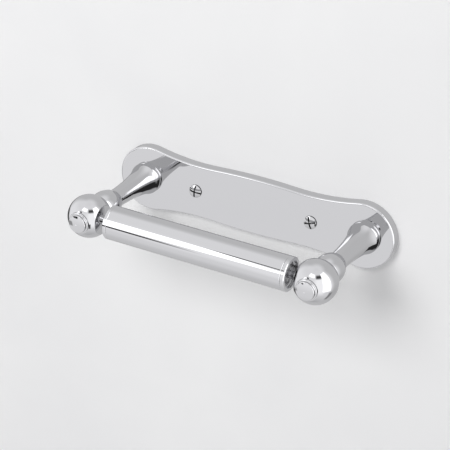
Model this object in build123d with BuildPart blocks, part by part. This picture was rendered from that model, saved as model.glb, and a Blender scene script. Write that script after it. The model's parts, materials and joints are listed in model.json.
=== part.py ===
from build123d import *
import math
import os

# A wall-mounted toilet paper holder: a cast back plate, two turned posts that
# end in balls, and a sprung roller held between the balls.
# Millimetres. +X along the roller, +Y into the wall, +Z up.
# The origin is the middle of the back plate's rear face, on the wall.

# --- back plate -------------------------------------------------------------
lobe_x = 72.9             # centre of each round end lobe
lobe_radius = 21.05
middle_half_height = 18.25
waist_x = 36.0            # where the plate is narrowest
waist_half_height = 17.1
plate_thickness = 6.2
front_edge_radius = 1.0   # rounding between the face and the straight side
plate_wall = 2.4          # casting thickness of the side and the front
boss_radius = 9.6         # pads behind the posts
screw_boss_radius = 6.5   # pads round the wall screws
rib_thickness = 2.4
rib_depth = 2.6           # long rib, short of the wall plane

# --- wall screws ------------------------------------------------------------
wall_screw_x = 39.6
wall_hole_radius = 2.5
screw_head_radius = 4.2
screw_head_rim = 0.6      # rim standing off the plate
screw_dome = 1.2
screw_shank_radius = 2.2
screw_thread_radius = 2.0
screw_cone = screw_head_radius - screw_shank_radius
thread_start = 0.5        # beyond the wall plane
thread_end = 26.0
screw_tip = 30.0
cross_length = 7.6
cross_width = 1.05
cross_depth = 2.0
cross_turn = {-1: -6.0, 1: 16.0}   # degrees each cross is turned from upright

# --- posts, collars, balls and finials --------------------------------------
post_x = 75.0
axis_y = -71.0            # roller axis, off the wall
contact_radius = 9.7      # post on the plate
rim_radius = 10.05
rim_height = 1.3          # where the rim is widest, off the plate
shoulder_radius = 9.64    # rim meets the flare
shoulder_height = 3.4
flare_slope = 22.0        # degrees, at the shoulder
neck_radius = 5.7
collar_y = axis_y + 26.6  # neck meets collar
collar_start_radius = 6.1
collar_radius = 9.05
collar_widest_y = axis_y + 17.0
ball_radius = 13.15
ball_back_y = axis_y + 10.7    # collar meets ball
ball_front_y = axis_y - 11.2   # flat under the finial
ball_flat = 9.6           # flat on the inner side, off the ball's centre
ball_flat_rounding = 0.4
ball_back_radius = math.sqrt(ball_radius**2 - (ball_back_y - axis_y) ** 2)
ball_front_radius = math.sqrt(ball_radius**2 - (ball_front_y - axis_y) ** 2)
finial_flange_radius = 6.6
finial_flange = 1.0       # height of the step
finial_disc_radius = 5.7
finial_dome = 0.7         # rise of the domed face
finial_rounding = 0.42
finial_front_y = axis_y - 14.6
finial_spigot_radius = 2.5
finial_spigot_end = axis_y - 5.0

# --- fasteners inside the arms ----------------------------------------------
stud_radius = 3.0
stud_back_y = axis_y + 39.2
stud_front_y = axis_y + 4.8
stud_chamfer = 0.6
thread_gap = 0.02         # play between a plain thread and its hole
slip_gap = 0.1            # play round parts that drop over a thread
hole_extra = 0.2          # blind holes run this much past what they hold
counterbore_radius = 5.8
counterbore_depth = 3.6
post_screw_radius = 3.0
post_screw_end = -17.2
post_screw_head_radius = 5.0
post_screw_head = 2.5
post_screw_slot = 1.1
washer_thickness = 0.8
washer_gap = 0.8
washer_gap_deg = 8.0
dowel_radius = 1.5
dowel_offset = 6.4        # above the post's axis
dowel_in_plate = 1.9
dowel_in_post = 3.6
dowel_chamfer = 0.3

# --- roller -----------------------------------------------------------------
roller_half = 60.0
roller_radius = 10.3
tube_wall = 1.2
cap_ring = 2.6            # visible ring at each end of the roller
cap_edge = 0.25           # chamfer each side of the joint line
cap_round = 0.45
recess_radius = 8.2
recess_depth = 2.5
spigot_length = 8.0
spigot_wall = 1.5
web_thickness = 2.5
pin_radius = 2.5
pin_tip_rounding = 1.2
socket_radius = pin_radius + 0.06
pin_reach = 70.0          # tip of each pin, off the middle
socket_end = pin_reach + 0.15
pin_root = 50.5
cap_boss_radius = 4.4
housing_outer = 5.6
housing_inner = 4.7
housing_mouth = 54.0
housing_back = 20.0
housing_floor = 1.5
housing_boss_radius = 6.8
housing_lip = 1.0
plunger_shoulder = (50.5, 53.0)
plunger_shoulder_radius = 4.6
plunger_stem_radius = 1.9
plunger_stem_end = 36.0
spring_radius = 3.3
spring_wire_radius = 0.45
spring_turns = 9

sides = {"left": -1, "right": 1}


def arm_plane(side):
    """Plane through one post's axis: local x is the radius, local y is global Y."""
    return Plane(origin=(side * post_x, 0, 0), x_dir=(1, 0, 0), z_dir=(0, 0, 1))


def arm_axis(side):
    return Axis((side * post_x, 0, 0), (0, 1, 0))


roller_plane = Plane(origin=(0, axis_y, 0), x_dir=(1, 0, 0), z_dir=(0, 0, 1))
roller_axis = Axis((0, axis_y, 0), (1, 0, 0))
front_plane = Plane.XZ.offset(plate_thickness)


def save(piece, name):
    piece.part.label = name
    export_step(piece.part, f"parts/{name}.step")


def toward(start, end, distance):
    """The point at a distance from start on the line to end."""
    length = math.dist(start, end)
    return tuple(s + (e - s) * distance / length for s, e in zip(start, end))


def dome_arc(radius, crown_y, height):
    """A shallow cap's arc, from its rim in to the axis."""
    sphere = (radius**2 + height**2) / (2 * height)
    middle_y = crown_y + sphere - math.sqrt(sphere**2 - (radius / 2) ** 2)
    return ThreePointArc((radius, crown_y + height), (radius / 2, middle_y), (0, crown_y))


def plate_face():
    """Outline of the plate: arcs tangent to each other, mirrored both ways."""
    waist_radius = (
        (lobe_x - waist_x) ** 2 + waist_half_height**2 - lobe_radius**2
    ) / (2 * (lobe_radius - waist_half_height))
    waist_centre = (waist_x, waist_half_height + waist_radius)
    drop = waist_centre[1] - middle_half_height
    middle_radius = (waist_x**2 + drop**2 - waist_radius**2) / (2 * (waist_radius - drop))
    middle_centre = (0, middle_half_height - middle_radius)
    swell_end = toward(middle_centre, waist_centre, middle_radius)
    lobe_start = toward((lobe_x, 0), waist_centre, lobe_radius)
    with BuildSketch(Plane.XZ) as face:
        with BuildLine():
            middle_start = (-swell_end[0], swell_end[1])
            ThreePointArc(middle_start, (0, middle_half_height), swell_end)
            ThreePointArc(swell_end, (waist_x, waist_half_height), lobe_start)
            lobe_end = (lobe_start[0], -lobe_start[1])
            ThreePointArc(lobe_start, (lobe_x + lobe_radius, 0), lobe_end)
            ThreePointArc(lobe_end, (waist_x, -waist_half_height), (swell_end[0], -swell_end[1]))
            ThreePointArc(
                (swell_end[0], -swell_end[1]), (0, -middle_half_height), (-swell_end[0], -swell_end[1])
            )
            ThreePointArc(
                (-swell_end[0], -swell_end[1]), (-waist_x, -waist_half_height), (-lobe_end[0], lobe_end[1])
            )
            ThreePointArc(
                (-lobe_end[0], lobe_end[1]), (-lobe_x - lobe_radius, 0), (-lobe_start[0], lobe_start[1])
            )
            ThreePointArc(
                (-lobe_start[0], lobe_start[1]), (-waist_x, waist_half_height), middle_start
            )
        make_face()
    return face.sketch


# --- back plate: a hollow casting, open at the back ---------------------------
def make_back_plate():
    post_spots = [(-post_x, 0), (post_x, 0)]
    screw_spots = [(-wall_screw_x, 0), (wall_screw_x, 0)]
    outline = plate_face()
    with BuildPart(front_plane) as plate:
        extrude(outline, amount=plate_thickness)
        front = plate.faces().sort_by(Axis.Y)[0]
        fillet(front.edges(), radius=front_edge_radius)
        with BuildSketch(Plane.XZ) as hollow:
            add(outline)
            offset(amount=-plate_wall)
            with Locations(*post_spots):
                Circle(boss_radius, mode=Mode.SUBTRACT)
            with Locations(*screw_spots):
                Circle(screw_boss_radius, mode=Mode.SUBTRACT)
            Rectangle(rib_thickness, 2 * lobe_radius, mode=Mode.SUBTRACT)
        extrude(hollow.sketch, amount=plate_thickness - plate_wall, mode=Mode.SUBTRACT)
        rib_plane = Plane.XZ.offset(plate_thickness - plate_wall - rib_depth)
        with BuildSketch(rib_plane) as rib:
            Rectangle(2 * post_x - boss_radius, rib_thickness)
        extrude(rib.sketch, amount=rib_depth)
        with BuildSketch(Plane.XZ) as counterbores:
            with Locations(*post_spots):
                Circle(counterbore_radius)
        extrude(counterbores.sketch, amount=counterbore_depth, mode=Mode.SUBTRACT)
        with Locations(*post_spots):
            Hole(radius=post_screw_radius + 2 * slip_gap)
        with Locations(*screw_spots):
            CounterSinkHole(
                radius=wall_hole_radius,
                counter_sink_radius=screw_head_radius + 0.06,
                counter_sink_angle=90,
            )
        with Locations(*[(x, dowel_offset) for x, _ in post_spots]):
            Hole(radius=dowel_radius + thread_gap, depth=dowel_in_plate + hole_extra)
    save(plate, "back_plate")


# --- wall screws: raised countersunk head, cross slot, thread into the wall ---
def make_wall_screws():
    seat = -plate_thickness
    rim = seat - screw_head_rim
    crown = rim - screw_dome
    with BuildPart() as screws:
        for side in sides.values():
            centre_plane = Plane(
                origin=(side * wall_screw_x, 0, 0), x_dir=(1, 0, 0), z_dir=(0, 0, 1)
            )
            with BuildSketch(centre_plane):
                with BuildLine():
                    dome = dome_arc(screw_head_radius, crown, screw_dome)
                    Polyline(
                        dome @ 1,
                        (0, screw_tip),
                        (screw_thread_radius, thread_end),
                        (screw_thread_radius, thread_start),
                        (screw_shank_radius, thread_start),
                        (screw_shank_radius, seat + screw_cone),
                        (screw_head_radius, seat),
                        dome @ 0,
                    )
                make_face()
            revolve(axis=Axis((side * wall_screw_x, 0, 0), (0, 1, 0)))
            crown_plane = Plane(
                origin=(side * wall_screw_x, crown - 1, 0),
                x_dir=(1, 0, 0),
                z_dir=(0, -1, 0),
            )
            with BuildSketch(crown_plane):
                Rectangle(cross_width, cross_length, rotation=cross_turn[side])
                Rectangle(cross_length, cross_width, rotation=cross_turn[side])
            extrude(amount=-cross_depth - 1, mode=Mode.SUBTRACT)
    save(screws, "wall_screws")


# --- posts: trumpet flare with a rounded rim, slim neck -----------------------
def make_post(name, side):
    face_y = -plate_thickness
    with BuildPart() as post:
        with BuildSketch(arm_plane(side)):
            with BuildLine():
                widest = (rim_radius, face_y - rim_height)
                shoulder = (shoulder_radius, face_y - shoulder_height)
                slope = math.radians(flare_slope)
                ThreePointArc((contact_radius, face_y), (9.96, face_y - 0.55), widest)
                ThreePointArc(widest, (9.95, face_y - 2.37), shoulder)
                Spline(
                    shoulder,
                    (8.55, face_y - 6.5),
                    (7.65, face_y - 10.5),
                    (6.9, face_y - 15.5),
                    (6.25, face_y - 22),
                    (5.8, face_y - 30),
                    (neck_radius, collar_y),
                    tangents=((-math.sin(slope), -math.cos(slope)), (0, -1)),
                )
                Polyline((neck_radius, collar_y), (0, collar_y), (0, face_y), (contact_radius, face_y))
            make_face()
        revolve(axis=arm_axis(side))
        with BuildSketch(Plane.XZ.offset(plate_thickness)) as screw_hole:
            with Locations((side * post_x, 0)):
                Circle(post_screw_radius + thread_gap)
        hole_depth = -post_screw_end - plate_thickness + 1
        extrude(screw_hole.sketch, amount=hole_depth, mode=Mode.SUBTRACT)
        with BuildSketch(Plane.XZ.offset(plate_thickness)) as dowel_hole:
            with Locations((side * post_x, dowel_offset)):
                Circle(dowel_radius + thread_gap)
        extrude(dowel_hole.sketch, amount=dowel_in_post + hole_extra, mode=Mode.SUBTRACT)
        with BuildSketch(Plane.XZ.offset(-collar_y)) as stud_hole:
            with Locations((side * post_x, 0)):
                Circle(stud_radius + thread_gap)
        extrude(stud_hole.sketch, amount=collar_y - stud_back_y - hole_extra, mode=Mode.SUBTRACT)
    save(post, name)


# --- collars: a turned bead between the neck and the ball ---------------------
def make_collar(name, side):
    with BuildPart() as collar:
        with BuildSketch(arm_plane(side)):
            with BuildLine():
                widest = (collar_radius, collar_widest_y)
                ThreePointArc((collar_start_radius, collar_y), (8.15, axis_y + 22.2), widest)
                ThreePointArc(widest, (8.62, axis_y + 13.4), (ball_back_radius, ball_back_y))
                Polyline(
                    (ball_back_radius, ball_back_y),
                    (stud_radius + slip_gap, ball_back_y),
                    (stud_radius + slip_gap, collar_y),
                    (collar_start_radius, collar_y),
                )
            make_face()
        revolve(axis=arm_axis(side))
    save(collar, name)


# --- balls: flats for the collar, the finial and the roller -------------------
def make_ball(name, side):
    flat_x = side * (post_x - ball_flat)
    inner_plane = Plane(origin=(flat_x, axis_y, 0), x_dir=(0, 1, 0), z_dir=(side, 0, 0))
    with BuildPart() as ball:
        with BuildSketch(arm_plane(side)):
            with BuildLine():
                ThreePointArc(
                    (ball_back_radius, ball_back_y),
                    (ball_radius, axis_y),
                    (ball_front_radius, ball_front_y),
                )
                Polyline(
                    (ball_front_radius, ball_front_y),
                    (0, ball_front_y),
                    (0, ball_back_y),
                    (ball_back_radius, ball_back_y),
                )
            make_face()
        revolve(axis=arm_axis(side))
        with BuildSketch(inner_plane) as beyond_flat:
            Circle(ball_radius)
        extrude(beyond_flat.sketch, amount=-ball_radius, mode=Mode.SUBTRACT)
        flat = ball.faces().filter_by(Axis.X).sort_by(Axis.X)[0 if side > 0 else -1]
        fillet(flat.edges(), radius=ball_flat_rounding)
        with BuildSketch(inner_plane) as socket:
            Circle(socket_radius)
        extrude(socket.sketch, amount=socket_end - abs(flat_x), mode=Mode.SUBTRACT)
        with BuildSketch(Plane.XZ.offset(-ball_back_y)) as stud_hole:
            with Locations((side * post_x, 0)):
                Circle(stud_radius + thread_gap)
        extrude(stud_hole.sketch, amount=ball_back_y - stud_front_y + hole_extra, mode=Mode.SUBTRACT)
        with BuildSketch(Plane.XZ.offset(-ball_front_y)) as finial_hole:
            with Locations((side * post_x, 0)):
                Circle(finial_spigot_radius + thread_gap)
        finial_depth = finial_spigot_end - ball_front_y + hole_extra
        extrude(finial_hole.sketch, amount=-finial_depth, mode=Mode.SUBTRACT)
    save(ball, name)


# --- finials: stepped, slightly domed buttons ---------------------------------
def make_finial(name, side):
    flange_top = ball_front_y - finial_flange
    disc_edge = finial_front_y + finial_dome
    with BuildPart() as finial:
        with BuildSketch(arm_plane(side)) as profile:
            with BuildLine():
                dome = dome_arc(finial_disc_radius, finial_front_y, finial_dome)
                Polyline(
                    dome @ 0,
                    (finial_disc_radius, flange_top),
                    (finial_flange_radius, flange_top),
                    (finial_flange_radius, ball_front_y),
                    (finial_spigot_radius, ball_front_y),
                    (finial_spigot_radius, finial_spigot_end),
                    (0, finial_spigot_end),
                    dome @ 1,
                )
            make_face()
            corners = profile.vertices().filter_by(lambda v: v.X > 1 and v.Y < ball_front_y - 0.1)
            fillet(corners, radius=finial_rounding)
        revolve(axis=arm_axis(side))
    save(finial, name)


# --- studs: threaded rods through the collars ---------------------------------
def make_stud(name, side):
    with BuildPart() as stud:
        with BuildSketch(Plane.XZ.offset(-stud_back_y)):
            with Locations((side * post_x, 0)):
                Circle(stud_radius)
        extrude(amount=stud_back_y - stud_front_y)
        chamfer(stud.edges().filter_by(GeomType.CIRCLE), length=stud_chamfer)
    save(stud, name)


# --- post screws, washers and dowels ------------------------------------------
def make_post_fasteners():
    head_back = -counterbore_depth + washer_thickness
    with BuildPart() as screws:
        for side in sides.values():
            with BuildSketch(Plane.XZ.offset(-head_back - post_screw_head)):
                with Locations((side * post_x, 0)):
                    Circle(post_screw_head_radius)
            extrude(amount=post_screw_head)
            with BuildSketch(Plane.XZ.offset(-head_back)):
                with Locations((side * post_x, 0)):
                    Circle(post_screw_radius)
            extrude(amount=head_back - post_screw_end)
            with BuildSketch(Plane.XZ.offset(-head_back - post_screw_head)):
                with Locations((side * post_x, 0)):
                    Rectangle(2 * post_screw_head_radius, post_screw_slot)
            extrude(amount=post_screw_slot, mode=Mode.SUBTRACT)
    save(screws, "post_screws")

    with BuildPart() as washers:
        for side in sides.values():
            with BuildSketch(Plane.XZ.offset(counterbore_depth - washer_thickness)) as ring:
                with Locations((side * post_x, 0)):
                    Circle(post_screw_head_radius + slip_gap)
                    Circle(post_screw_radius + slip_gap, mode=Mode.SUBTRACT)
                with Locations((side * post_x, -post_screw_head_radius + 1)):
                    Rectangle(washer_gap, 3, rotation=washer_gap_deg, mode=Mode.SUBTRACT)
            extrude(amount=washer_thickness)
    save(washers, "post_washers")

    with BuildPart() as dowels:
        with BuildSketch(Plane.XZ.offset(plate_thickness - dowel_in_plate)):
            with Locations((-post_x, dowel_offset), (post_x, dowel_offset)):
                Circle(dowel_radius)
        extrude(amount=dowel_in_plate + dowel_in_post)
        chamfer(dowels.edges().filter_by(GeomType.CIRCLE), length=dowel_chamfer)
    save(dowels, "post_dowels")


# --- roller tube ----------------------------------------------------------------
def make_roller_tube():
    with BuildPart() as tube:
        with BuildSketch(Plane.YZ.offset(cap_ring - roller_half)):
            with Locations((axis_y, 0)):
                Circle(roller_radius)
                Circle(roller_radius - tube_wall, mode=Mode.SUBTRACT)
        extrude(amount=2 * (roller_half - cap_ring))
        outer_edges = tube.edges().filter_by(GeomType.CIRCLE).group_by(SortBy.RADIUS)[-1]
        chamfer(outer_edges, length=cap_edge)
    save(tube, "roller_tube")


# --- end caps: ring, recessed face, spigot inside the tube ----------------------
def cap_profile(side, bore):
    """Outer half section of an end cap, from its bore round to the end of its spigot."""
    end = side * roller_half
    joint = side * (roller_half - cap_ring)
    floor = side * (roller_half - recess_depth)
    inner = side * (roller_half - cap_ring - spigot_length)
    spigot_radius = roller_radius - tube_wall - thread_gap
    return [
        (floor, bore),
        (floor, recess_radius),
        (end, recess_radius),
        (end, roller_radius - cap_round),
        (end - side * cap_round, roller_radius),
        (joint + side * cap_edge, roller_radius),
        (joint, roller_radius - cap_edge),
        (joint, spigot_radius),
        (inner, spigot_radius),
        (inner, spigot_radius - spigot_wall),
    ]


def make_left_end_cap():
    side = -1
    web = side * (roller_half - recess_depth - web_thickness)
    boss_end = side * pin_root
    with BuildPart() as cap:
        with BuildSketch(roller_plane):
            with BuildLine():
                points = cap_profile(side, pin_radius)
                points += [
                    (web, points[-1][1]),
                    (web, cap_boss_radius),
                    (boss_end, cap_boss_radius),
                    (boss_end, pin_radius),
                ]
                Polyline(*points, close=True)
            make_face()
        revolve(axis=roller_axis)
    save(cap, "left_end_cap")


def make_right_end_cap():
    side = 1
    boss_end = side * (roller_half - cap_ring - spigot_length)
    web = housing_mouth + housing_lip
    with BuildPart() as cap:
        with BuildSketch(roller_plane):
            with BuildLine():
                points = cap_profile(side, socket_radius)
                points += [
                    (web, points[-1][1]),
                    (web, housing_boss_radius),
                    (boss_end, housing_boss_radius),
                    (boss_end, housing_outer),
                    (housing_mouth, housing_outer),
                    (housing_mouth, socket_radius),
                ]
                Polyline(*points, close=True)
            make_face()
        revolve(axis=roller_axis)
    save(cap, "right_end_cap")


# --- fixed pin -------------------------------------------------------------------
def make_fixed_pin():
    length = pin_reach - pin_root
    with BuildPart() as pin:
        with BuildSketch(Plane.YZ.offset(-pin_reach)):
            with Locations((axis_y, 0)):
                Circle(pin_radius)
        extrude(amount=length)
        tip = pin.edges().sort_by(Axis.X)[0]
        fillet(tip, radius=pin_tip_rounding)
    save(pin, "fixed_pin")


# --- plunger: pin, shoulder, spring stem -------------------------------------------
def make_plunger():
    shoulder_back, shoulder_front = plunger_shoulder
    with BuildPart() as plunger:
        with BuildSketch(roller_plane):
            with BuildLine():
                Polyline(
                    (plunger_stem_end, 0),
                    (pin_reach, 0),
                    (pin_reach, pin_radius),
                    (shoulder_front, pin_radius),
                    (shoulder_front, plunger_shoulder_radius),
                    (shoulder_back, plunger_shoulder_radius),
                    (shoulder_back, plunger_stem_radius),
                    (plunger_stem_end, plunger_stem_radius),
                    (plunger_stem_end, 0),
                )
            make_face()
        revolve(axis=roller_axis)
        tip = plunger.edges().filter_by(GeomType.CIRCLE).sort_by(Axis.X)[-1]
        fillet(tip, radius=pin_tip_rounding)
    save(plunger, "plunger")


# --- spring and its housing ----------------------------------------------------------
def make_spring():
    start = housing_back + housing_floor + spring_wire_radius
    end = plunger_shoulder[0] - spring_wire_radius
    length = end - start
    with BuildPart() as spring:
        with BuildLine() as coil:
            Helix(
                pitch=length / spring_turns,
                height=length,
                radius=spring_radius,
                center=(start, axis_y, 0),
                direction=(1, 0, 0),
            )
        with BuildSketch(Plane(origin=coil.line @ 0, z_dir=coil.line % 0)):
            Circle(spring_wire_radius)
        sweep(path=coil.line, is_frenet=True)
    save(spring, "plunger_spring")


def make_housing():
    with BuildPart() as housing:
        with BuildSketch(roller_plane):
            with BuildLine():
                Polyline(
                    (housing_back, 0),
                    (housing_back, housing_outer - thread_gap),
                    (housing_mouth, housing_outer - thread_gap),
                    (housing_mouth, housing_inner),
                    (housing_back + housing_floor, housing_inner),
                    (housing_back + housing_floor, 0),
                    (housing_back, 0),
                )
            make_face()
        revolve(axis=roller_axis)
    save(housing, "spring_housing")


os.makedirs("parts", exist_ok=True)
make_back_plate()
make_wall_screws()
for word, side in sides.items():
    make_post(f"{word}_post", side)
    make_collar(f"{word}_collar", side)
    make_ball(f"{word}_ball", side)
    make_finial(f"{word}_finial", side)
    make_stud(f"{word}_stud", side)
make_post_fasteners()
make_roller_tube()
make_left_end_cap()
make_right_end_cap()
make_fixed_pin()
make_plunger()
make_spring()
make_housing()
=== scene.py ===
import bpy
import json
import math
from mathutils import Matrix, Vector


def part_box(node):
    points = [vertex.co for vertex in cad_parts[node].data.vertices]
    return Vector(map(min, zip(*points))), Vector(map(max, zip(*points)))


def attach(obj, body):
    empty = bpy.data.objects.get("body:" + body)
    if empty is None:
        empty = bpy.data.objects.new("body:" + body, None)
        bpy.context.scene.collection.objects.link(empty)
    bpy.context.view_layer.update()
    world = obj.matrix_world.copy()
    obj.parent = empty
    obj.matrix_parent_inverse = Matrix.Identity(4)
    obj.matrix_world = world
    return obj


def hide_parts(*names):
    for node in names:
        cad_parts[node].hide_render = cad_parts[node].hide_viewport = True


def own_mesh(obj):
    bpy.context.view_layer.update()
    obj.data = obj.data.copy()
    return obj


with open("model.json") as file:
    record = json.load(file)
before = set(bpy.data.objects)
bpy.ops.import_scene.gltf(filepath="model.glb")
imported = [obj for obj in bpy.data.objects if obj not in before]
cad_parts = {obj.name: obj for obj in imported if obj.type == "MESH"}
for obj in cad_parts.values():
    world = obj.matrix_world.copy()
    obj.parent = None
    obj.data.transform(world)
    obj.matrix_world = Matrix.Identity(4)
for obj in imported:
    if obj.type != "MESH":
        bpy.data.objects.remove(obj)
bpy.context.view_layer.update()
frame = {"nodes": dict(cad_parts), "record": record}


# ---------------------------------------------------------------- node helpers
def new_tree(material):
    material.use_nodes = True
    tree = material.node_tree
    tree.nodes.clear()
    return tree


def add_node(tree, kind, **inputs):
    node = tree.nodes.new(kind)
    for name, value in inputs.items():
        node.inputs[name.replace("_", " ")].default_value = value
    return node


def join(tree, source, socket, target, into):
    tree.links.new(source.outputs[socket], target.inputs[into])


def math_node(tree, operation, a=None, b=None, clamp=False):
    node = tree.nodes.new("ShaderNodeMath")
    node.operation = operation
    node.use_clamp = clamp
    for slot, value in ((0, a), (1, b)):
        if value is None:
            continue
        if isinstance(value, (int, float)):
            node.inputs[slot].default_value = value
        else:
            tree.links.new(value, node.inputs[slot])
    return node.outputs[0]


# ------------------------------------------------------------------- materials
recess_share = 0.745          # of a cap's radius
recess_extra_roughness = 0.2
recess_dark = (0.20, 0.20, 0.205, 1)
recess_pale = (0.85, 0.85, 0.86, 1)
# Painted shade: the dark colour that ambient occlusion mixes into narrow hollows such as screw slots
crevice_shade_colour = (0.015, 0.015, 0.015, 1)


def two_tone(tree, low_at, low_colour, high_at, high_colour):
    """A ramp from one colour to another between two positions."""
    ramp = add_node(tree, "ShaderNodeValToRGB")
    ends = ramp.color_ramp.elements
    ends[0].position, ends[0].color = low_at, low_colour
    ends[1].position, ends[1].color = high_at, high_colour
    return ramp


def mix_colours(tree):
    """A colour mix: factor in input 0, first colour in 6, second in 7, result in output 2."""
    mix = add_node(tree, "ShaderNodeMix")
    mix.data_type = "RGBA"
    return mix


def dull_recess(material, node):
    """Plating that didn't reach the recessed end face: dark, rough and blotchy."""
    low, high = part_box(node)
    outer = (high[2] - low[2]) / 2
    axis_y = (low[1] + high[1]) / 2
    tree = material.node_tree
    skin = next(n for n in tree.nodes if n.type == "BSDF_PRINCIPLED")
    place = add_node(tree, "ShaderNodeTexCoord")
    parts = add_node(tree, "ShaderNodeSeparateXYZ")
    join(tree, place, "Object", parts, "Vector")
    off_y = math_node(tree, "SUBTRACT", parts.outputs["Y"], axis_y)
    reach = math_node(tree, "SQRT", math_node(
        tree, "ADD", math_node(tree, "MULTIPLY", off_y, off_y),
        math_node(tree, "MULTIPLY", parts.outputs["Z"], parts.outputs["Z"]),
    ))
    inside = math_node(tree, "LESS_THAN", reach, outer * recess_share)
    blotch = add_node(tree, "ShaderNodeTexNoise", Scale=420.0, Detail=4.0, Roughness=0.6)
    join(tree, place, "Object", blotch, "Vector")
    ramp = two_tone(tree, 0.4, recess_dark, 0.7, recess_pale)
    join(tree, blotch, "Fac", ramp, "Fac")
    mix = mix_colours(tree)
    mix.inputs[6].default_value = skin.inputs["Base Color"].default_value
    tree.links.new(ramp.outputs["Color"], mix.inputs[7])
    tree.links.new(inside, mix.inputs[0])
    tree.links.new(mix.outputs[2], skin.inputs["Base Color"])
    rough = skin.inputs["Roughness"].links[0].from_socket
    rougher = math_node(tree, "MULTIPLY_ADD", inside, recess_extra_roughness)
    tree.links.new(rough, rougher.node.inputs[2])
    tree.links.new(rougher, skin.inputs["Roughness"])


def metal(name, colour, rough_low, rough_high, ripple, grain, grain_scale=(1, 1, 1), crevice=0.0):
    """Plating or bare metal: a faint ripple, fine grain in the surface and the roughness,
    and painted shade: ambient occlusion darkens the colour in hollows narrower than the crevice
    distance."""
    material = bpy.data.materials.new(name)
    tree = new_tree(material)
    out = add_node(tree, "ShaderNodeOutputMaterial")
    skin = add_node(tree, "ShaderNodeBsdfPrincipled", Metallic=1.0)
    skin.inputs["Base Color"].default_value = (*colour, 1)
    join(tree, skin, "BSDF", out, "Surface")
    # Painted shade: ambient occlusion darkens the base colour in hollows narrower than crevice
    if crevice:
        hollow = add_node(tree, "ShaderNodeAmbientOcclusion", Distance=crevice)
        hollow.samples = 8
        crevice_shade_ramp = two_tone(tree, 0.45, crevice_shade_colour, 0.85, (*colour, 1))
        join(tree, hollow, "AO", crevice_shade_ramp, "Fac")
        join(tree, crevice_shade_ramp, "Color", skin, "Base Color")
    place = add_node(tree, "ShaderNodeTexCoord")
    stretch = add_node(tree, "ShaderNodeMapping")
    stretch.inputs["Scale"].default_value = grain_scale
    join(tree, place, "Object", stretch, "Vector")
    smudge = add_node(tree, "ShaderNodeTexNoise", Scale=55.0, Detail=4.0, Roughness=0.6)
    join(tree, place, "Object", smudge, "Vector")
    fine = add_node(tree, "ShaderNodeTexNoise", Scale=1400.0, Detail=3.0, Roughness=0.7)
    join(tree, stretch, "Vector", fine, "Vector")
    mixed = math_node(tree, "MULTIPLY_ADD", fine.outputs["Fac"], 0.35)
    tree.links.new(smudge.outputs["Fac"], mixed.node.inputs[2])
    spread = add_node(tree, "ShaderNodeMapRange")
    spread.inputs["From Min"].default_value = 0.45
    spread.inputs["From Max"].default_value = 0.95
    spread.inputs["To Min"].default_value = rough_low
    spread.inputs["To Max"].default_value = rough_high
    tree.links.new(mixed, spread.inputs["Value"])
    join(tree, spread, "Result", skin, "Roughness")
    wave = add_node(tree, "ShaderNodeTexNoise", Scale=90.0, Detail=2.0, Roughness=0.4)
    join(tree, place, "Object", wave, "Vector")
    low = add_node(tree, "ShaderNodeBump", Strength=1.0, Distance=ripple)
    join(tree, wave, "Fac", low, "Height")
    high = add_node(tree, "ShaderNodeBump", Strength=1.0, Distance=grain)
    join(tree, fine, "Fac", high, "Height")
    join(tree, low, "Normal", high, "Normal")
    join(tree, high, "Normal", skin, "Normal")
    return material


chrome_tint = (0.90, 0.90, 0.915)
plate_chrome = metal("plate_chrome", chrome_tint, 0.015, 0.045, 4e-6, 4e-8)
turned_chrome = metal("turned_chrome", chrome_tint, 0.01, 0.035, 1.5e-6, 4e-8)
tube_chrome = metal("tube_chrome", chrome_tint, 0.01, 0.03, 1e-6, 6e-8, (0.05, 1, 1))
# The screws get painted shade in their slots and hollows through crevice
screw_chrome = metal("screw_chrome", (0.84, 0.84, 0.85), 0.05, 0.12, 3e-6, 3e-7, crevice=0.0012)
zinc_steel = metal("zinc_steel", (0.62, 0.62, 0.60), 0.25, 0.42, 3e-6, 1e-6)
spring_steel = metal("spring_steel", (0.48, 0.48, 0.49), 0.2, 0.35, 2e-6, 1e-6)


def moulding(name, colour):
    material = bpy.data.materials.new(name)
    tree = new_tree(material)
    out = add_node(tree, "ShaderNodeOutputMaterial")
    skin = add_node(tree, "ShaderNodeBsdfPrincipled", Roughness=0.5)
    join(tree, skin, "BSDF", out, "Surface")
    place = add_node(tree, "ShaderNodeTexCoord")
    cloud = add_node(tree, "ShaderNodeTexNoise", Scale=300.0, Detail=4.0)
    join(tree, place, "Object", cloud, "Vector")
    shade = mix_colours(tree)
    shade.inputs[6].default_value = (*[c * 0.8 for c in colour], 1)
    shade.inputs[7].default_value = (*[min(1, c * 1.2) for c in colour], 1)
    tree.links.new(cloud.outputs["Fac"], shade.inputs[0])
    tree.links.new(shade.outputs[2], skin.inputs["Base Color"])
    bump = add_node(tree, "ShaderNodeBump", Strength=0.4, Distance=2e-5)
    join(tree, cloud, "Fac", bump, "Height")
    join(tree, bump, "Normal", skin, "Normal")
    return material


cap_chrome = metal("cap_chrome", chrome_tint, 0.01, 0.035, 1.5e-6, 4e-8)
dull_recess(cap_chrome, "right_end_cap")
housing_plastic = moulding("housing_plastic", (0.05, 0.05, 0.055))
finishes = {
    "plate_chrome": plate_chrome,
    "turned_chrome": turned_chrome,
    "tube_chrome": tube_chrome,
    "screw_chrome": screw_chrome,
    "zinc_steel": zinc_steel,
    "spring_steel": spring_steel,
    "housing_plastic": housing_plastic,
}
for part in frame["record"]["subparts"]:
    piece = frame["nodes"][part["node"]]
    piece.data.materials.clear()
    capped = part["node"].endswith("end_cap")
    piece.data.materials.append(cap_chrome if capped else finishes[part["material_slot"]])


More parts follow.
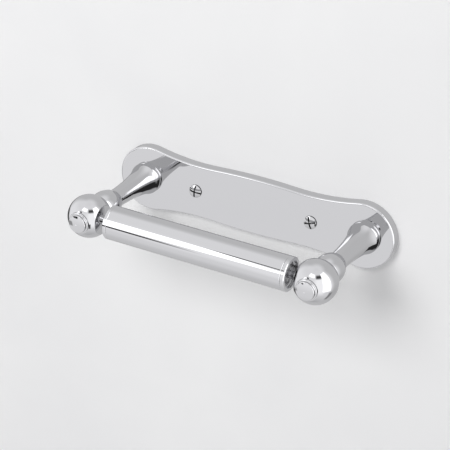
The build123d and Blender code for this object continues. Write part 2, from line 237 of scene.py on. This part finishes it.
def springy_coil(node, body, material):
    """Stands for a spring's node: a copy of its mesh in the given material, attached to the body,
    with the rigid node hidden."""
    rigid = frame["nodes"][node]
    coil = bpy.data.objects.new("spring_coil", rigid.data.copy())
    coil.matrix_world = rigid.matrix_world
    coil.data.materials.clear()
    coil.data.materials.append(material)
    bpy.context.scene.collection.objects.link(coil)
    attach(coil, body)
    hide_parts(node)
    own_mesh(coil)


springy_coil("plunger_spring", "roller", spring_steel)


# ----------------------------------------------------------------------- stage
def flat_quad(name, corners, material):
    mesh = bpy.data.meshes.new(name)
    mesh.from_pydata(corners, [], [(0, 1, 2, 3)])
    mesh.materials.append(material)
    quad = bpy.data.objects.new(name, mesh)
    bpy.context.scene.collection.objects.link(quad)
    return quad


def plaster(name, shade, one_sided):
    material = bpy.data.materials.new(name)
    tree = new_tree(material)
    out = add_node(tree, "ShaderNodeOutputMaterial")
    skin = add_node(tree, "ShaderNodeBsdfPrincipled", Roughness=0.6)
    skin.inputs["Specular IOR Level"].default_value = 0.2
    place = add_node(tree, "ShaderNodeTexCoord")
    cloud = add_node(tree, "ShaderNodeTexNoise", Scale=9.0, Detail=3.0, Distortion=0.4)
    join(tree, place, "Object", cloud, "Vector")
    cloudy = (shade * 0.96, shade * 0.96, shade * 0.965, 1)
    ramp = two_tone(tree, 0.3, cloudy, 0.7, (shade, shade, shade, 1))
    join(tree, cloud, "Fac", ramp, "Fac")
    join(tree, ramp, "Color", skin, "Base Color")
    if not one_sided:
        join(tree, skin, "BSDF", out, "Surface")
        return material
    clear = add_node(tree, "ShaderNodeBsdfTransparent")
    side = add_node(tree, "ShaderNodeNewGeometry")
    choose = add_node(tree, "ShaderNodeMixShader")
    join(tree, side, "Backfacing", choose, "Fac")
    tree.links.new(skin.outputs["BSDF"], choose.inputs[1])
    tree.links.new(clear.outputs["BSDF"], choose.inputs[2])
    join(tree, choose, "Shader", out, "Surface")
    return material


wall_reach = 2.5
floor_drop = 0.45
wall_gap = 0.0003
wall_paint = plaster("wall_paint", 0.86, one_sided=True)
floor_paint = plaster("floor_paint", 0.80, one_sided=False)
wall = flat_quad(
    "wall",
    [
        (-wall_reach, wall_gap, -floor_drop),
        (wall_reach, wall_gap, -floor_drop),
        (wall_reach, wall_gap, wall_reach),
        (-wall_reach, wall_gap, wall_reach),
    ],
    wall_paint,
)
floor = flat_quad(
    "floor",
    [
        (-wall_reach, -wall_reach, -floor_drop),
        (wall_reach, -wall_reach, -floor_drop),
        (wall_reach, wall_reach, -floor_drop),
        (-wall_reach, wall_reach, -floor_drop),
    ],
    floor_paint,
)


# The chrome mirrors the studio of the world below, not these two surfaces.
wall.visible_glossy = False
floor.visible_glossy = False


# ---------------------------------------------------------------------- lights
def soft_light(name, place, aim, width, height, power, in_reflections):
    data = bpy.data.lights.new(name, "AREA")
    data.shape = "RECTANGLE"
    data.size = width
    data.size_y = height
    data.energy = power
    light = bpy.data.objects.new(name, data)
    light.location = place
    toward = Vector(aim) - Vector(place)
    light.rotation_mode = "QUATERNION"
    light.rotation_quaternion = toward.to_track_quat("-Z", "Y")
    light.visible_glossy = in_reflections
    light.visible_camera = False
    bpy.context.scene.collection.objects.link(light)


key_place = (-0.22, -1.15, 0.70)
key_aim = (0, -0.03, 0)
key_side = 0.6
key_watts = 10.0
soft_light("key", key_place, key_aim, key_side, key_side, key_watts, in_reflections=False)


# World: a pale studio, darker below, with soft boxes and dark cards set by azimuth
# (0 in front of the object, 90 to its right) and elevation, in degrees.
def edge(tree, value, at, soft):
    """0 below the edge, 1 above it; a negative soft swaps the sides."""
    node = tree.nodes.new("ShaderNodeMapRange")
    node.interpolation_type = "SMOOTHSTEP"
    node.inputs["From Min"].default_value = at - abs(soft)
    node.inputs["From Max"].default_value = at + abs(soft)
    node.inputs["To Min"].default_value = 0.0 if soft > 0 else 1.0
    node.inputs["To Max"].default_value = 1.0 if soft > 0 else 0.0
    tree.links.new(value, node.inputs["Value"])
    return node.outputs["Result"]


def card_mask(tree, azimuth, elevation, card):
    """Mask of one card, whose middle line may tilt and whose half height may taper."""
    left, right, low, high, soft = card["box"]
    taper, tilt = card.get("taper", 0.0), card.get("tilt", 0.0)
    from_right = math_node(tree, "SUBTRACT", right, azimuth)
    middle = math_node(tree, "MULTIPLY_ADD", from_right, tilt)
    middle.node.inputs[2].default_value = (low + high) / 2
    height = math_node(tree, "MULTIPLY_ADD", from_right, taper)
    height.node.inputs[2].default_value = (high - low) / 2
    height = math_node(tree, "MINIMUM", height, card.get("tallest", 90.0))
    off = math_node(tree, "ABSOLUTE", math_node(tree, "SUBTRACT", elevation, middle))
    inside = edge(tree, math_node(tree, "SUBTRACT", off, height), 0.0, -soft)
    past_left = edge(tree, azimuth, left, soft)
    short_of_right = edge(tree, azimuth, right, -soft)
    sides = math_node(tree, "MULTIPLY", past_left, short_of_right)
    mask = math_node(tree, "MULTIPLY", inside, sides)
    if "fade" in card:
        mask = math_node(tree, "MULTIPLY", mask, edge(tree, azimuth, *card["fade"]))
    return mask


backdrop_colour = (0.8, 0.8, 0.81, 1)   # what the camera itself sees behind the stage
to_degrees = 180 / math.pi


def studio_world(shades, cards, diffuse_share):
    world = bpy.data.worlds.new("studio")
    bpy.context.scene.world = world
    tree = new_tree(world)
    out = add_node(tree, "ShaderNodeOutputWorld")
    sky = add_node(tree, "ShaderNodeBackground", Strength=1.0)
    join(tree, sky, "Background", out, "Surface")
    place = add_node(tree, "ShaderNodeTexCoord")
    parts = add_node(tree, "ShaderNodeSeparateXYZ")
    join(tree, place, "Generated", parts, "Vector")
    front = math_node(tree, "MULTIPLY", parts.outputs["Y"], -1.0)
    azimuth = math_node(tree, "ARCTAN2", parts.outputs["X"], front)
    azimuth = math_node(tree, "MULTIPLY", azimuth, to_degrees)
    elevation = math_node(tree, "ARCSINE", parts.outputs["Z"])
    elevation = math_node(tree, "MULTIPLY", elevation, to_degrees)
    share = math_node(tree, "MULTIPLY_ADD", elevation, 1 / 180)
    share.node.inputs[2].default_value = 0.5
    ramp = add_node(tree, "ShaderNodeValToRGB")
    marks = ramp.color_ramp.elements
    while len(marks) < len(shades):
        marks.new(0.5)
    for mark, (degrees, level) in zip(marks, sorted(shades)):
        mark.position = degrees / 180 + 0.5
        mark.color = (level, level, level * 1.015, 1)
    tree.links.new(share, ramp.inputs["Fac"])
    colour = ramp.outputs["Color"]
    ray = add_node(tree, "ShaderNodeLightPath")
    repeated = math_node(tree, "GREATER_THAN", ray.outputs["Glossy Depth"], 1.5)
    for card in cards:
        mix = mix_colours(tree)
        level = card["level"]
        mix.inputs[7].default_value = (level, level, level * 1.01, 1)
        tree.links.new(colour, mix.inputs[6])
        mask = card_mask(tree, azimuth, elevation, card)
        if card.get("repeat_only"):
            mask = math_node(tree, "MULTIPLY", mask, repeated)
        tree.links.new(mask, mix.inputs[0])
        colour = mix.outputs[2]
    backdrop = mix_colours(tree)
    backdrop.inputs[7].default_value = backdrop_colour
    tree.links.new(colour, backdrop.inputs[6])
    tree.links.new(ray.outputs["Is Camera Ray"], backdrop.inputs[0])
    tree.links.new(backdrop.outputs[2], sky.inputs["Color"])
    seen = math_node(tree, "MAXIMUM", ray.outputs["Is Glossy Ray"], ray.outputs["Is Camera Ray"])
    strength = math_node(tree, "MULTIPLY_ADD", seen, 1 - diffuse_share)
    strength.node.inputs[2].default_value = diffuse_share
    tree.links.new(strength, sky.inputs["Strength"])


# Levels by elevation.
studio_shades = [
    (-90, 0.40), (-60, 0.56), (-42, 0.66), (-26, 0.68), (-8, 0.80),
    (20, 0.80), (45, 0.72), (70, 0.72), (90, 0.68),
]
# Each box is left, right, low, high and the softness of its edges. The repeat_only
# cards show only where chrome mirrors chrome, and stand for the object's close surroundings.
studio_cards = [
    {"box": (116, 200, -95, 62, 16), "level": 0.49},
    {"box": (-200, -112, -95, 62, 18), "level": 0.50},
    {"box": (120, 180, -50, -22, 14), "level": 0.42},
    {"box": (22, 70, -36, 46, 14), "level": 0.95},
    {"box": (-28, 14, 44, 60, 4), "level": 1.5},
    {"box": (-32, -18, 32.2, 36.5, 0.8), "level": 0.05, "fade": (-31, 1)},
    {"box": (-60, -25.5, -10, -2.5, 0.8), "level": 0.03, "fade": (-26.6, -1.5)},
    {"box": (-44, -22.5, 13.5, 21.5, 1.2), "level": 1.7, "taper": 1.77, "tilt": -0.32, "tallest": 18},
    {"box": (62, 104, -25, 60, 4), "level": 1.6},
    {"box": (24, 62, 39, 57, 6), "level": 0.06},
    {"box": (100, 122, -62, -33, 5), "level": 0.22},
    {"box": (24, 38, -46, -20, 3), "level": 0.08},
    {"box": (-68, -47, -31, -21, 2), "level": 0.28},
    {"box": (-142, -100, -42, -8, 6), "level": 0.07},
    {"box": (-400, 400, -95, 95, 1), "level": 0.39, "repeat_only": True},
    {"box": (42, 80, 4, 56, 5), "level": 1.5, "repeat_only": True},
    {"box": (-41, -34, 2, 24, 1.5), "level": 1.3, "repeat_only": True},
    {"box": (24, 76, -50, -9, 5), "level": 0.02, "repeat_only": True},
]
studio_world(studio_shades, studio_cards, diffuse_share=0.57)

# ---------------------------------------------------------------------- camera
camera_place = Vector((0.39078, -0.77393, 0.41594))
camera_azimuth = math.radians(28.034)
camera_elevation = math.radians(26.491)
camera_roll = math.radians(2.38)
lens_mm = 125.8
back = Vector((
    math.sin(camera_azimuth) * math.cos(camera_elevation),
    -math.cos(camera_azimuth) * math.cos(camera_elevation),
    math.sin(camera_elevation),
))
right = Vector((math.cos(camera_azimuth), math.sin(camera_azimuth), 0))
up = back.cross(right)
rolled_right = right * math.cos(camera_roll) + up * math.sin(camera_roll)
rolled_up = up * math.cos(camera_roll) - right * math.sin(camera_roll)
camera_data = bpy.data.cameras.new("camera")
camera_data.lens = lens_mm
camera_data.sensor_width = 36
camera_data.clip_start = 0.01
camera = bpy.data.objects.new("camera", camera_data)
facing = Matrix((rolled_right, rolled_up, back)).transposed().to_4x4()
camera.matrix_world = Matrix.Translation(camera_place) @ facing
bpy.context.scene.collection.objects.link(camera)
bpy.context.scene.camera = camera
bpy.context.scene.view_settings.view_transform = "Standard"
